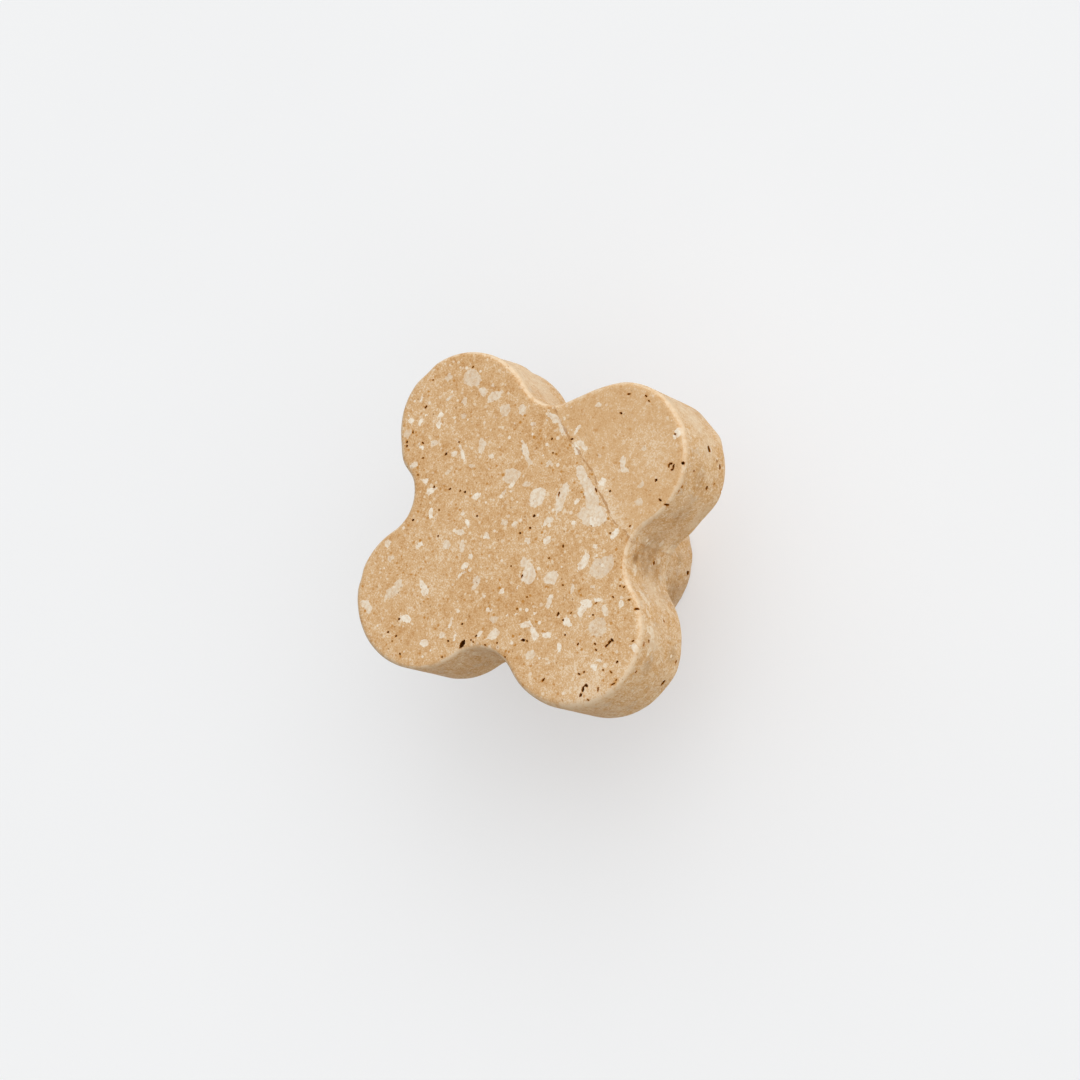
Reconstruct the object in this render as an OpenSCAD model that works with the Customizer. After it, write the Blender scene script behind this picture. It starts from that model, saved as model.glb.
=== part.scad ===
// Clover cabinet knob of honed travertine.
// A four-petal head and a round stem are ground from one block of stone.
// A brass insert, bonded in the end of the stem, takes the screw that comes through the door.
// The knob stands on its mounting face at z = 0, and +Z points out of the cabinet.

/* [Clover head] */
// Width of the head across its petals
head_w = 40; // [36:0.5:46]
// Thickness of the head
head_t = 12; // [8:0.5:18]
// Radius of each petal's round end
petal_r = 9.25; // [8.5:0.25:10.5]
// Radius of the valley between two petals
valley_r = 5.5; // [4:0.25:8]
// Rounding of the head's front and back edges
head_edge_r = 0.6; // [0.2:0.1:1.5]

/* [Stem] */
// Diameter of the stem
stem_d = 20; // [14:0.5:24]
// Length of the stem, from the mounting face to the back of the head
stem_l = 18; // [14:0.5:30]
// Fillet where the stem meets the back of the head
stem_root_r = 1; // [0.4:0.1:2]
// Rounding of the rim of the mounting face
stem_edge_r = 0.5; // [0.2:0.1:1.5]

/* [Threaded insert] */
// Outer diameter of the insert
insert_d = 8; // [6:0.5:10]
// Length of the insert
insert_l = 12; // [8:0.5:16]
// How far the insert's end lies inside the mounting face
insert_recess = 0.3; // [0.1:0.1:1]
// Gap round the insert that the bond fills
bond_gap = 0.1; // [0.05:0.05:0.3]
// Diameter of the tapped hole, 3.3 for an M4 thread
tap_d = 3.3; // [2.5:0.1:4.2]
// Chamfer at the mouth of the tapped hole
tap_lead = 0.6; // [0.2:0.1:1]
// Number of grooves that key the insert into the bond
groove_count = 3; // [1:1:4]
// Width of each groove
groove_w = 1.2; // [0.6:0.1:1.6]
// Depth of each groove
groove_depth = 0.5; // [0.2:0.1:0.8]
// Chamfer on the insert's outer edges
insert_chamfer = 0.4; // [0.2:0.1:0.8]

/* [Hidden] */
$fn = 96;

// Number of petals, and of valleys between them
petal_count = 4;
petal_step = 360 / petal_count;
// How far a cutter runs past the face that it cuts, and a boss into the body that it joins
overrun = 1;

stem_r = stem_d / 2;
insert_r = insert_d / 2;
tap_r = tap_d / 2;
// Offset of each petal's centre along X and along Y
petal_at = head_w / 2 - petal_r;
// The valleys' walls stand this far proud of the petals' walls, so that the two overlap cleanly
seam = 0.01;
// Distance of each valley's centre from the axis, where its circle just touches two petals
valley_at = petal_at + sqrt(pow(petal_r + valley_r + seam, 2) - pow(petal_at, 2));
// The insert seats on the floor of its hole
socket_r = insert_r + bond_gap;
socket_depth = insert_recess + insert_l;
groove_step = insert_l / (groove_count + 1);

// Half section of a disc with rounded rims, from its axis outwards
module disc_section(r, h, edge_r) {
    square([r - edge_r, h]);
    translate([0, edge_r]) square([r, h - 2 * edge_r]);
    for (z = [edge_r, h - edge_r])
        translate([r - edge_r, z]) circle(edge_r);
}

// Half section of a round cutter that flares at both faces and so leaves rounded rims
module valley_section(r, h, edge_r) {
    for (z = [-overrun, h])
        translate([0, z]) square([r + edge_r, overrun]);
    difference() {
        square([r + edge_r, h]);
        translate([r, edge_r]) square([2 * edge_r, h - 2 * edge_r]);
        for (z = [edge_r, h - edge_r])
            translate([r + edge_r, z]) circle(edge_r);
    }
}

// Four round petals, joined by a core that the valleys cut into
module clover(h, edge_r) {
    for (i = [0 : petal_count - 1])
        rotate(i * petal_step)
            translate([petal_at, petal_at])
                rotate_extrude() disc_section(petal_r, h, edge_r);
    difference() {
        linear_extrude(h)
            polygon([
                for (i = [0 : petal_count - 1])
                    for (p = [[petal_at, petal_at], [0, valley_at]])
                        [
                            p.x * cos(i * petal_step) - p.y * sin(i * petal_step),
                            p.x * sin(i * petal_step) + p.y * cos(i * petal_step)
                        ]
            ]);
        for (i = [0 : petal_count - 1])
            rotate(i * petal_step)
                translate([0, valley_at])
                    rotate_extrude() valley_section(valley_r, h, edge_r);
    }
}

// Half section of the stem: rounded rim below, fillet and a short root inside the head above
module stem_section() {
    square([stem_r - stem_edge_r, stem_l + overrun]);
    translate([0, stem_edge_r]) square([stem_r, stem_l + overrun - stem_edge_r]);
    translate([stem_r - stem_edge_r, stem_edge_r]) circle(stem_edge_r);
    translate([0, stem_l]) square([stem_r + stem_root_r, overrun]);
    difference() {
        translate([0, stem_l - stem_root_r]) square([stem_r + stem_root_r, stem_root_r]);
        translate([stem_r + stem_root_r, stem_l - stem_root_r]) circle(stem_root_r);
    }
}

module stone_body() {
    color("#d3ae7e")
        difference() {
            union() {
                translate([0, 0, stem_l]) clover(head_t, head_edge_r);
                rotate_extrude() stem_section();
            }
            translate([0, 0, -overrun])
                cylinder(r = socket_r, h = socket_depth + overrun);
        }
}

// Half section of the insert, with its inner end at the floor of the socket
module insert_section() {
    difference() {
        polygon([
            [tap_r + tap_lead, 0],
            [insert_r - insert_chamfer, 0],
            [insert_r, insert_chamfer],
            [insert_r, insert_l - insert_chamfer],
            [insert_r - insert_chamfer, insert_l],
            [tap_r, insert_l],
            [tap_r, tap_lead]
        ]);
        for (i = [1 : groove_count])
            translate([insert_r - groove_depth, i * groove_step - groove_w / 2])
                square([groove_depth + overrun, groove_w]);
    }
}

module threaded_insert() {
    color("#b9973f")
        translate([0, 0, insert_recess])
            rotate_extrude() insert_section();
}

stone_body();
threaded_insert();
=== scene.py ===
"""Looks of the clover cabinet knob: pitted, honed travertine round a brass threaded insert."""

import math
import random

import bmesh
import bpy
import numpy as np
from mathutils import Matrix, Vector, noise
from mathutils.bvhtree import BVHTree
from mathutils.geometry import delaunay_2d_cdt
from mathutils.kdtree import KDTree


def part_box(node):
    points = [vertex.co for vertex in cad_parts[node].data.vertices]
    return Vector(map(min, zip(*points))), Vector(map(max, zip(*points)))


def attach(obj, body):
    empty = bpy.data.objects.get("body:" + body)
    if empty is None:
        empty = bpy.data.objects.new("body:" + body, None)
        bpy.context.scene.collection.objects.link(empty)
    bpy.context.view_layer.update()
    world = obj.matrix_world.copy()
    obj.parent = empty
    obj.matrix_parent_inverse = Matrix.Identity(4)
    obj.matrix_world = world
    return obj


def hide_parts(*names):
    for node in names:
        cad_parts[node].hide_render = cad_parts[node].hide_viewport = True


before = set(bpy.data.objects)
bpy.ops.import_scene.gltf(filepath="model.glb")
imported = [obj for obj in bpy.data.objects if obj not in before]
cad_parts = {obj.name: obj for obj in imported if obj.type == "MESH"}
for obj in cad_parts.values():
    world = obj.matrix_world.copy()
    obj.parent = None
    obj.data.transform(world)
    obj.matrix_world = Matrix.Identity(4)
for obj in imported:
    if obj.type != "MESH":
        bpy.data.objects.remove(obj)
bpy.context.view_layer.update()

# Sizes of the knob in millimetres, as in the CAD solids
MM = 0.001
stone_low, stone_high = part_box("stone_body")
insert_low, insert_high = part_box("threaded_insert")
HEAD_W = (stone_high.x - stone_low.x) / MM
KNOB_H = (stone_high.z - stone_low.z) / MM
HEAD_T = 12
PETAL_R = 9.25
VALLEY_R = 5.5
EDGE_R = 0.6
STEM_R = 10
STEM_L = KNOB_H - HEAD_T
STEM_ROOT_R = 1
STEM_EDGE_R = 0.5
BOND_GAP = 0.1
INSERT_R = (insert_high.x - insert_low.x) / 2 / MM
INSERT_BOTTOM = insert_low.z / MM
INSERT_TOP = insert_high.z / MM
SOCKET_R = INSERT_R + BOND_GAP
SOCKET_DEPTH = INSERT_TOP
PETAL_COUNT = 4
PETAL_AT = HEAD_W / 2 - PETAL_R
VALLEY_AT = PETAL_AT + math.sqrt((PETAL_R + VALLEY_R) ** 2 - PETAL_AT ** 2)

# The camera as fitted to the photo, in millimetres and degrees
PHOTO_SIZE = 1080
SENSOR = 36
LENS = 94.2
AIM = Vector((-0.9, -2.8, 28.5))
AIM_DISTANCE = 341.7
HEADING = 4.72
ELEVATION = 61.0
ROLL = -71.5
NEAREST_SEEN = 10

# The stone's mesh
SEED = 11
PETAL_STEPS = 60
VALLEY_STEPS = 20
EDGE_STEPS = 5
WALL_STEPS = 18
BACK_STEPS = 7
STEM_STEPS = 24
SOCKET_STEPS = 6
FACE_GRID = 0.25
INSIDE_ONLY = 1
FILL_GAP = 1e-6
WELD_GAP = 0.00002
STONE_CREASE = math.radians(38)

# Unevenness of the ground walls, in millimetres
WAVE_LENGTH = 5.0
WAVE_DEPTH = 0.1
RIPPLE_LENGTH = 1.4
RIPPLE_DEPTH = 0.035
RIM_BUMP_LENGTH = 1.2
RIM_BUMP_DEPTH = 0.24
RIM_BUMP_HEIGHT = 1.6
EDGE_CHANGE = 0.3
EDGE_CHANGE_LENGTH = 4.5

# Dents in the walls, or swellings where the depth is below zero: photo pixel, height, radius, depth
DENTS = [
    (427, 374, 30.0, 2.0, 0.24), (396, 404, 29.5, 1.8, 0.1), (404, 464, 29.5, 2.8, -0.35),
    (361, 578, 29.5, 1.6, 0.16), (605, 387, 29.5, 3.4, 0.22), (572, 399, 29.5, 2.2, -0.25),
    (517, 364, 24.0, 3.4, -0.35), (710, 420, 18.5, 1.8, 0.12), (724, 437, 18.5, 1.8, -0.24),
    (703, 520, 18.5, 3.4, 0.45), (677, 670, 18.5, 3.2, -0.26),
]

# Where the front edge is worn wider: photo pixel, reach and extra rounding in millimetres
WORN_EDGES = [(560, 716, 5.0, 0.45), (600, 728, 4.0, 0.35)]

# Pits that the photo shows: photo pixel, length and width in millimetres, turn in degrees
PITS = [
    # Upper left petal
    (473, 367, 0.35, 0.22, 45), (433, 380, 0.22, 0.2, 0), (426, 407, 0.6, 0.3, 35),
    (407, 442, 0.36, 0.3, 90), (407, 446, 0.34, 0.28, 70), (413, 432, 0.45, 0.2, 90),
    (423, 443, 0.45, 0.22, -35), (446, 454, 0.5, 0.32, 35), (423, 458, 0.36, 0.2, 10),
    (459, 442, 0.26, 0.22, 0), (418, 475, 0.25, 0.22, 0), (434, 487, 0.36, 0.28, 60),
    (450, 489, 0.38, 0.26, 10), (460, 491, 0.26, 0.24, 0), (465, 492, 0.36, 0.34, 0),
    (413, 520, 0.38, 0.3, 20), (439, 510, 0.25, 0.22, 0), (438, 536, 0.28, 0.24, 30),
    # Middle of the face
    (477, 516, 0.32, 0.28, 0), (534, 516, 0.46, 0.36, 30), (530, 528, 0.32, 0.28, 0),
    (520, 533, 0.32, 0.28, 0), (552, 439, 0.34, 0.28, 50), (553, 453, 0.26, 0.24, 0),
    (556, 454, 0.18, 0.16, 0), (572, 439, 0.4, 0.3, 0), (559, 494, 0.7, 0.2, 80), (610, 491, 0.32, 0.28, 0),
    (596, 490, 0.6, 0.22, -60), (563, 546, 0.36, 0.26, 90), (549, 558, 0.28, 0.2, 20),
    (610, 533, 0.26, 0.24, 0), (630, 526, 0.26, 0.22, 0), (511, 566, 0.24, 0.22, 0),
    (522, 576, 0.48, 0.26, 65), (517, 609, 0.25, 0.2, 0), (527, 597, 0.26, 0.2, 0),
    # Upper right petal
    (621, 413, 0.36, 0.32, 0), (629, 394, 0.5, 0.24, 0), (646, 396, 0.44, 0.22, -45),
    (649, 401, 0.34, 0.2, -45), (675, 434, 0.3, 0.22, 0), (670.5, 463.6, 0.55, 0.3, 10),
    (668.8, 466.0, 0.5, 0.26, 95), (673.4, 466.4, 0.66, 0.3, 85), (672.2, 469.6, 0.44, 0.28, 20),
    (656, 480, 0.42, 0.36, 60), (660, 500, 0.5, 0.3, -30), (667, 505, 0.74, 0.36, -25),
    # Lower left petal
    (399, 619, 0.32, 0.28, 0), (388, 632, 0.34, 0.3, 0), (396, 636, 0.36, 0.28, 40),
    (400, 654, 0.36, 0.26, -50), (392, 641, 0.22, 0.2, 0), (462, 624, 0.3, 0.28, 0),
    (448, 641, 0.32, 0.3, 0), (462, 644, 1.2, 0.6, 56), (471, 640, 0.26, 0.24, 0),
    (473, 642, 0.26, 0.2, -30), (476, 636, 0.44, 0.25, 40), (442, 657, 0.26, 0.22, 0),
    (485, 645, 0.3, 0.2, -20), (497, 643, 0.24, 0.22, 0), (505, 657, 0.28, 0.24, 0),
    # Lower right petal
    (523, 640, 0.62, 0.38, -5), (527, 641, 0.32, 0.24, -60), (563, 585, 0.28, 0.26, 0),
    (558, 614, 0.6, 0.3, 55), (620, 586, 0.24, 0.22, 0), (624, 587, 0.36, 0.2, 25),
    (613, 597, 0.36, 0.22, -40), (629, 600, 0.36, 0.22, -10), (637, 609, 0.62, 0.3, 10),
    (596, 603, 0.36, 0.16, 25), (571, 613, 0.3, 0.2, 50), (593, 615, 0.28, 0.26, 0),
    (563, 620, 0.3, 0.26, 0), (565, 635, 0.28, 0.26, 0), (578, 644, 0.38, 0.24, 50),
    (595, 644, 0.36, 0.26, -30), (596, 650, 0.32, 0.26, -30), (606.5, 645.5, 0.55, 0.3, 45),
    (609.2, 642.5, 0.62, 0.36, 62), (612, 640, 0.62, 0.38, -35), (633, 641, 0.42, 0.25, 10),
    (617, 662, 0.42, 0.3, 25), (603, 670, 0.22, 0.2, 0), (611, 672, 0.42, 0.2, -40),
    (584, 672, 0.32, 0.22, 60), (579, 674, 0.42, 0.26, -20), (580.6, 695.2, 0.62, 0.36, 58),
    (582.8, 689.6, 0.74, 0.42, 78), (585.6, 685.2, 0.54, 0.36, 35), (587, 686, 0.36, 0.24, -50),
    (598, 689, 0.64, 0.2, 85), (613, 684, 0.6, 0.2, 25), (616, 680, 0.28, 0.16, 40),
    (588, 700, 0.36, 0.2, -20), (543, 680, 0.62, 0.26, 45),
    # Walls
    (683, 463, 0.44, 0.4, 0), (682, 487, 0.3, 0.3, 0), (679, 491, 0.26, 0.2, 40),
    (709, 449, 0.95, 0.8, 105), (720, 467, 0.7, 0.55, 100), (717, 461, 0.4, 0.4, 0),
    (694, 471, 0.36, 0.36, 0), (707, 488, 0.55, 0.6, 60), (714, 484, 0.3, 0.26, 0),
    (654, 563, 0.5, 0.56, 60), (688, 573, 0.6, 0.9, 60), (649, 641, 0.46, 0.36, 90),
    (644, 644, 0.52, 0.3, 90), (636, 672, 0.36, 0.3, 60), (663, 683, 0.9, 0.6, 45),
    (676, 662, 0.5, 0.36, 60), (664, 621, 0.4, 0.32, -50),
]

# Shape of the pits, as shares of their width, and the halo round them in millimetres
BALL_STEPS = 3
PIT_DEPTH = 1.0
PIT_SINK = 0.25
PIT_ROUGHNESS = 0.42
PIT_LUMPS = 1.4
PIT_BUMPS = 3.3
PIT_SHIFT = 50
PIT_CLEARANCE = 0.7
PIT_RIM_DEPTH = 0.02
PIT_HALO = 0.16

# Pits on the sides that the photo hides, in millimetres, few of them large
HIDDEN_PIT_COUNT = 150
HIDDEN_PIT_SPACING = 1.2
HIDDEN_PIT_W = 0.2
HIDDEN_PIT_W_SPREAD = 0.3
HIDDEN_PIT_STRETCH = 1.6
LARGE_PIT_CHANCE = 0.06
LARGE_PIT_W = 0.5
LARGE_PIT_L = 0.9
LARGE_PIT_L_SPREAD = 0.6

# Pale clasts that the photo shows: photo pixel, length and width in millimetres, turn in degrees, tone
CLASTS = [
    # Upper left petal
    (473, 378, 2.1, 1.9, 0, 0.45), (449, 377, 1.0, 0.9, 90, 0.45), (483, 392, 1.4, 0.8, -45, 0.6),
    (495, 396, 1.7, 1.0, 25, 0.6), (493, 386, 0.5, 0.5, 0, 0.6), (464, 401, 0.9, 0.8, 90, 0.5),
    (448, 399, 0.7, 0.45, 25, 0.6), (422, 399, 0.75, 0.35, 60, 0.9), (441, 415, 0.65, 0.55, 0, 1.0),
    (427, 415, 0.4, 0.3, 0, 1.0), (411, 421, 0.8, 0.5, 50, 1.0), (421, 421, 0.8, 0.32, 50, 1.0),
    (439, 424, 0.95, 0.5, 80, 1.0), (408, 434, 1.1, 0.9, 90, 0.3), (435, 443, 0.8, 0.6, 20, 0.6),
    (422, 448, 0.6, 0.36, -40, 1.0), (461, 449, 1.9, 0.45, -65, 0.9), (454, 454, 1.0, 0.45, 25, 0.8),
    (482, 445, 1.7, 0.9, 85, 0.55), (491, 457, 0.7, 0.5, -20, 0.7), (464, 416, 0.9, 0.7, 0, 0.4),
    (505, 410, 1.5, 1.2, 20, 0.4), (522, 409, 1.5, 0.9, 90, 0.55), (533, 424, 0.7, 0.5, 0, 0.5),
    (414, 465, 1.0, 0.7, 20, 0.8), (426, 481, 0.7, 0.6, 0, 0.9), (431, 491, 1.2, 0.6, 20, 1.0),
    (431, 513, 1.1, 0.5, 90, 1.0), (448, 472, 0.7, 0.4, 40, 0.5),
    # Middle of the face
    (471, 466, 0.8, 0.5, 0, 0.4), (525, 449, 2.0, 0.65, -60, 0.75), (529, 461, 0.9, 0.6, -50, 0.5),
    (549, 464, 0.9, 0.5, 40, 0.5), (511, 476, 2.0, 1.5, 10, 0.45), (512, 484, 0.8, 0.5, 30, 0.9),
    (526, 484, 0.8, 0.6, 0, 0.5), (477, 496, 1.5, 0.6, 30, 1.0), (503, 493, 0.8, 0.5, 30, 0.5),
    (538, 497, 2.3, 1.7, 40, 0.75), (534, 500, 0.9, 0.8, 0, 1.0), (463, 513, 0.6, 0.4, 30, 0.8),
    (467, 522, 0.9, 0.4, -65, 1.0), (460, 532, 1.1, 0.8, 10, 0.7), (487, 536, 0.9, 0.7, -30, 0.8),
    (505, 522, 0.9, 0.6, 0, 0.4), (514, 524, 0.7, 0.5, 20, 0.7), (547, 522, 1.7, 0.8, 30, 0.7),
    (547, 540, 1.0, 0.9, 60, 0.85), (528, 541, 0.8, 0.5, -50, 0.7), (447, 545, 1.3, 1.2, 60, 0.5),
    (462, 549, 1.7, 0.55, 90, 0.55), (471, 556, 0.75, 0.65, 0, 0.75), (421, 544, 0.95, 0.42, 30, 0.9),
    (388, 542, 1.0, 0.8, 60, 0.7),
    # Beside the vein
    (554, 418, 2.1, 0.7, -35, 0.7), (562, 429, 1.4, 0.6, -60, 0.7), (577, 451, 1.4, 0.6, -60, 0.9),
    (581, 444, 0.9, 0.5, -40, 0.7), (574, 445, 0.6, 0.4, 0, 0.8), (562, 497, 3.6, 1.1, 72, 0.65),
    (566, 488, 1.2, 0.7, 60, 0.8), (582, 475, 2.1, 1.3, -55, 0.7), (590, 490, 2.7, 1.4, -65, 0.7),
    (587, 483, 2.0, 1.2, -65, 0.5), (592, 503, 2.4, 1.7, -70, 0.45), (586, 513, 1.7, 1.4, 0, 0.5),
    (578, 428, 1.0, 0.4, 55, 0.9), (584, 447, 1.1, 0.5, -30, 0.85), (597, 513, 2.6, 2.0, -70, 0.65),
    (597, 518, 2.4, 1.5, 15, 0.95), (587, 521, 1.4, 0.9, -30, 0.6), (577, 501, 0.8, 0.45, 30, 1.0),
    (602, 481, 0.9, 0.75, 50, 1.0), (614, 534, 1.4, 0.85, 45, 0.95), (595, 546, 0.6, 0.4, 0, 0.9),
    (573, 523, 0.5, 0.4, 0, 1.0), (603, 566, 3.0, 2.4, 30, 0.4), (584, 561, 2.0, 0.95, 60, 0.9),
    # Upper right petal
    (623, 464, 2.0, 0.65, 100, 0.65), (625, 470, 0.9, 0.6, 0, 0.7), (598, 405, 0.7, 0.5, 20, 0.7),
    (639, 502, 1.0, 0.8, 0, 0.45), (641, 485, 0.9, 0.6, 40, 0.3), (644, 449, 0.7, 0.5, 0, 0.4),
    (675, 437, 0.6, 0.4, 0, 0.9),
    # Lower left petal
    (424, 589, 1.8, 0.85, -65, 0.9), (398, 583, 1.2, 1.0, 0, 0.5), (390, 558, 0.9, 0.6, 30, 0.5),
    (367, 606, 1.9, 0.9, -50, 0.7), (406, 619, 1.4, 0.85, -20, 0.95), (391, 592, 1.7, 1.3, 30, 0.35),
    (424, 643, 0.85, 0.8, 45, 0.9), (465, 566, 0.75, 0.6, 30, 0.9), (462, 574, 1.2, 0.5, 30, 0.8),
    (476, 580, 1.1, 1.0, 90, 0.5), (474, 587, 0.65, 0.55, 60, 0.6), (502, 591, 0.7, 0.5, 40, 0.95),
    (484, 596, 0.5, 0.35, 70, 0.7), (488, 610, 0.65, 0.55, 0, 0.95), (507, 615, 0.36, 0.3, 0, 1.0),
    (515, 614, 0.42, 0.3, 20, 1.0), (494, 619, 1.2, 0.9, 30, 0.3), (494, 634, 1.6, 0.9, 35, 0.75),
    (450, 624, 1.3, 0.4, 65, 0.8), (454, 640, 1.0, 0.35, 70, 0.9), (480, 633, 0.6, 0.26, 40, 0.9),
    (442, 635, 0.7, 0.6, 60, 0.6),
    # Lower right petal
    (529, 574, 2.0, 1.7, 80, 0.7), (524, 562, 1.2, 0.8, -45, 0.6), (552, 578, 1.9, 1.3, 45, 0.7),
    (554, 580, 1.5, 0.3, 45, 1.0), (517, 588, 0.55, 0.26, 55, 1.0), (549, 602, 1.7, 0.65, 65, 0.8),
    (526, 625, 1.6, 0.75, -5, 0.85), (534, 632, 1.8, 0.65, -60, 0.95), (547, 635, 0.9, 0.6, -20, 0.9),
    (531, 654, 1.2, 0.95, 20, 0.55), (559, 647, 0.8, 0.6, 90, 0.95), (588, 604, 1.5, 0.85, -15, 0.9),
    (582, 611, 1.5, 0.85, 65, 0.9), (573, 586, 1.2, 0.45, 90, 0.6), (568, 623, 1.3, 0.7, -40, 0.95),
    (592, 587, 0.65, 0.4, 20, 0.6), (598, 600, 0.6, 0.4, 20, 0.9), (622, 604, 0.75, 0.7, 45, 0.9),
    (605, 611, 1.1, 0.7, -50, 0.6), (598, 627, 2.4, 2.0, -30, 0.15), (635, 647, 1.2, 0.8, -40, 0.8),
    (594, 667, 0.95, 0.75, 35, 0.95), (599, 660, 0.42, 0.36, 0, 0.9),
    # Walls
    (652, 634, 1.8, 1.0, -60, 1.0), (648, 629, 0.9, 0.8, -60, 0.9), (645, 599, 1.9, 0.9, -65, 0.8),
    (648, 612, 1.2, 0.8, -65, 0.8), (649, 652, 1.0, 0.8, 90, 0.9), (679, 432, 1.1, 0.9, 60, 0.8),
    (689, 432, 0.7, 0.8, 20, 0.8), (661, 544, 1.0, 0.9, 60, 0.8), (669, 549, 1.1, 0.8, 50, 0.8),
]

# Facets of the clasts, and clasts strewn through the rest of the block, in millimetres
CLAST_REACHES = (0.85, 1.12)
CLAST_SIDES = 9
CLAST_ROUNDNESS = 0.8
CLAST_MARGIN = 0.8
CLAST_FAR = -0.6
HIDDEN_CLAST_COUNT = 900
HIDDEN_CLAST_REACH = 20
HIDDEN_CLAST_TOP = KNOB_H - 1.5
HIDDEN_CLAST_W = 0.5
HIDDEN_CLAST_W_SPREAD = 0.9
HIDDEN_CLAST_STRETCH = 1.5
HIDDEN_CLAST_TONE = 0.3
HIDDEN_CLAST_TONE_SPREAD = 0.7

# Grey-brown patches on the walls, partly real stains and partly painted shade in the valleys between the
# petals: photo pixel, radius in millimetres, strength
STAINS_AND_VALLEY_SHADE = [
    (636, 557, 1.1, 0.9), (648, 553, 3.6, 0.52), (655, 570, 2.2, 0.35), (672, 655, 1.3, 0.4),
    (648, 666, 1.6, 0.35), (700, 478, 2.0, 0.25), (683, 515, 2.2, 0.3), (680, 560, 1.2, 0.3),
    (674, 592, 2.4, 0.4), (684, 590, 2.8, 0.25),
]

# Pale patches on the walls that face the light, partly paler dusty stone and partly painted light where it
# grazes them: photo pixel, radius in millimetres, strength
DUST_AND_GLARE_PATCHES = [
    (540, 385, 4.0, 0.5), (520, 374, 4.0, 0.5), (668, 402, 3.0, 0.4), (690, 415, 4.0, 0.5),
    (708, 445, 3.0, 0.35), (655, 595, 3.0, 0.35), (655, 640, 2.5, 0.35),
]

# Broad changes of tone over the face: photo pixel, radius in millimetres, change
TONES = [
    (470, 360, 4.0, -0.12), (545, 425, 3.5, -0.15), (430, 480, 4.0, -0.06), (520, 600, 4.5, -0.12),
    (600, 640, 4.0, 0.1), (585, 692, 3.5, 0.22), (555, 660, 3.5, 0.08), (400, 590, 4.0, 0.08),
    (620, 512, 2.5, 0.2), (470, 652, 3.0, 0.1), (640, 440, 5.0, 0.12),
]

# The brown vein across the face, in photo pixels from its upper to its lower end
VEIN = [
    (548, 392), (560, 420), (571, 442), (578, 450), (584, 460), (590, 468), (595, 476),
    (597, 488), (602, 497), (607, 506), (610, 516), (616, 524), (625, 531), (633, 545), (650, 572),
]

# The insert's thread and outside, in millimetres, and the thread's crest, flank and root in pitches
THREAD_PITCH = 0.7
THREAD_MINOR_R = 1.65
THREAD_MAJOR_R = 2.0
THREAD_LEAD = 0.6
THREAD_CREST = 0.25
THREAD_FLANK = 0.3125
THREAD_ROOT = 0.125
THREAD_ROWS_PER_TURN = 10
INSERT_COLUMNS = 48
INSERT_CHAMFER = 0.4
INSERT_CREASE = math.radians(30)
GROOVE_COUNT = 3
GROOVE_W = 1.2
GROOVE_DEPTH = 0.5

# Light and stage, in metres
FLOOR_SIZE = 6.0
FLOOR_DROP = 0.00002
FLOOR_TONE = 0.885
FLOOR_DRIFT = 0.004
FLOOR_DRIFT_LENGTH = 60.0
FLOOR_BOUNCE = (0.52, 0.39, 0.21, 1)
FLOOR_GLOW = 0.45
BACKGROUND_TONE = 0.88
LIGHT_FROM = Vector((0.84, -0.54, 0))
SKY_COLOR = (1.69, 1.76, 1.83, 1)
SHADE_COLOR = (0.10, 0.06, 0.02, 1)
WINDOW_FROM = Vector((0.62, -0.3, 0.75))
WINDOW_LEVEL = 0.45
WINDOW_SOFTNESS = math.radians(50)


def linear(red, green, blue):
    """A colour given as it shows on screen, 0 to 255, as the shader's linear values."""
    values = []
    for channel in (red, green, blue):
        share = channel / 255
        values.append(share / 12.92 if share <= 0.04045 else ((share + 0.055) / 1.055) ** 2.4)
    return (*values, 1.0)


# Colours of the stone and the brass
GROUND_DARK = linear(192, 143, 90)
GROUND_MIDDLE = linear(211, 171, 124)
GROUND_LIGHT = linear(228, 202, 169)
PALE_GRAIN = linear(231, 210, 180)
RUST = linear(185, 124, 48)
WALL_DARK = linear(200, 156, 97)
WALL_LIGHT = linear(227, 207, 178)
WALL_GREY = linear(194, 173, 151)
SCUFF = linear(233, 218, 197)
# Paler stone, and painted light on the walls that face the light
DUST_AND_GLARE_COLOR = linear(228, 210, 184)
# Stains, and painted shade in the valleys between the petals
STAIN_AND_SHADE_COLOR = linear(152, 110, 62)
FLECK = linear(235, 219, 196)
CALCITE_DULL = linear(219, 205, 183)
CALCITE_BRIGHT = linear(241, 231, 213)
VEIN_LINE = linear(172, 122, 70)
# Eased edges: worn paler stone, and a painted highlight along the rounding
EASED_EDGE_WEAR_AND_HIGHLIGHT = linear(224, 200, 169)
SPECK = linear(158, 98, 14)
# Pit rims and hollows: brown oxide, darkened with depth as painted shade
PIT_RIM = linear(190, 122, 8)
PIT_SHALLOW = linear(180, 108, 0)
PIT_DEEP = linear(140, 78, 0)
PIT_DEEPEST = linear(92, 48, 0)
BRASS_BRIGHT = linear(199, 161, 84)
BRASS_STAINED = linear(163, 122, 58)


# Camera

def camera_axes():
    """Forward, right and up directions of the fitted camera."""
    heading = math.radians(HEADING)
    elevation = math.radians(ELEVATION)
    roll = math.radians(ROLL)
    forward = Vector((
        math.cos(elevation) * math.sin(heading),
        math.cos(elevation) * math.cos(heading),
        -math.sin(elevation),
    ))
    level_right = Vector((math.cos(heading), -math.sin(heading), 0))
    level_up = level_right.cross(forward)
    right = level_right * math.cos(roll) + level_up * math.sin(roll)
    return forward, right, right.cross(forward)


camera_forward, camera_right, camera_up = camera_axes()
camera_at = AIM - camera_forward * AIM_DISTANCE


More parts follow.
